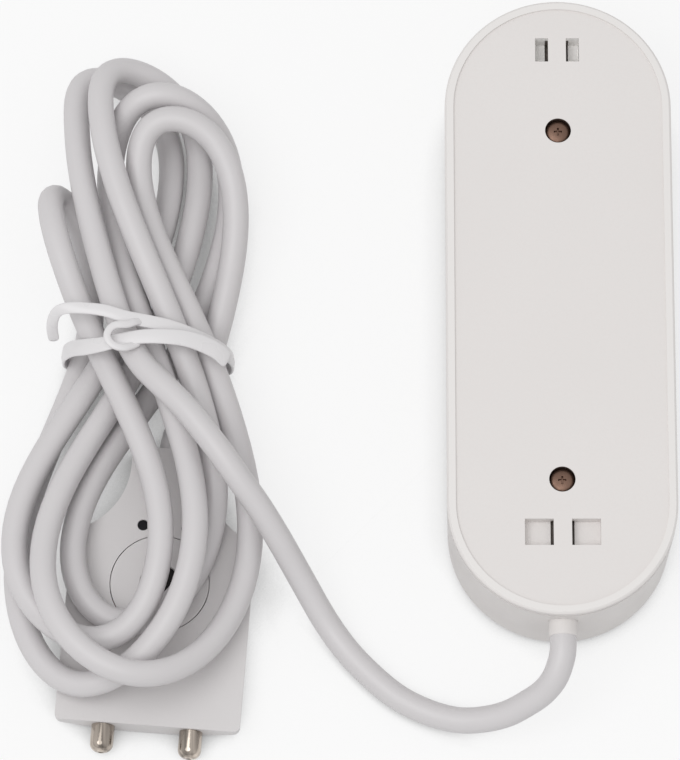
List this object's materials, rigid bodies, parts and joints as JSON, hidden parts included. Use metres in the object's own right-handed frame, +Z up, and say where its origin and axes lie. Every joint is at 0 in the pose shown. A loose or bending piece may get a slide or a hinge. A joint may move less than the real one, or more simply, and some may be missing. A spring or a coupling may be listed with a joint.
{
  "type": "water leak sensor",
  "caption": "Battery water leak sensor lying on its front: long round-ended unit with a screwed back cover, corded flat probe with metal contact pins, cord tied in a hank.",
  "frame": {"origin": "centre of the main unit's front face, which lies on the table", "axes": "+X to the right, +Y along the unit away from its cord, +Z up out of the back cover"},
  "size_m": [0.1118, 0.1273, 0.0213],
  "materials": {
    "case_plastic": "fine moulded texture, light grey",
    "cover_plastic": "fine moulded texture, light grey",
    "probe_plastic": "satin moulded plastic, light grey",
    "cord_pvc": "smooth soft sheath, light grey",
    "tie_plastic": "coated wire, white",
    "screw_steel": "dark plated steel",
    "probe_screw_black": "blackened steel",
    "board_laminate": "green solder mask",
    "radio_can": "tinned shield can",
    "black_plastic": "black moulded plastic",
    "led_resin": "clear lamp resin",
    "light_pipe_clear": "clear moulded plastic",
    "cell_sleeve": "plain printed sleeve without marks",
    "contact_metal": "nickel plated",
    "pin_nickel": "polished nickel",
    "header_nylon": "natural nylon",
    "wire_insulation": "wire insulation",
    "core_pvc": "inner sheath",
    "magnet_black": "dark coated magnet"
  },
  "bodies": {
    "case": {"front_shell": "case_plastic", "main_board": "board_laminate", "board_screws": "screw_steel", "radio_module": "radio_can", "tact_switch": "black_plastic", "status_led": "led_resin", "light_pipe": "light_pipe_clear", "battery_tray": "black_plastic", "battery_left": "cell_sleeve", "battery_right": "cell_sleeve", "battery_plates": "contact_metal", "battery_springs": "contact_metal", "wire_header": "header_nylon", "lead_wires": "wire_insulation", "cable_gland": "case_plastic", "cord_lead": "cord_pvc", "cord_hank": "cord_pvc", "twist_tie": "tie_plastic", "tie_knot": "tie_plastic", "probe_base": "probe_plastic", "probe_cover": "probe_plastic", "probe_cap": "probe_plastic", "probe_magnet": "magnet_black", "probe_pins": "pin_nickel", "probe_screws": "probe_screw_black", "probe_core": "core_pvc", "probe_wires": "wire_insulation"},
    "cover": {"back_cover": "cover_plastic", "cover_screws": "screw_steel"},
    "button": {"pairing_button": "case_plastic"}
  },
  "joints": [
    {"name": "cover_lift", "type": "slide", "parent": "case", "child": "cover", "axis": [0, 0, 1], "range_m": [0, 0.03]},
    {"name": "button_press", "type": "slide", "parent": "case", "child": "button", "axis": [0, 0, 1], "range_m": [0, 0.0005], "stiffness_N_per_m": 400}
  ]
}
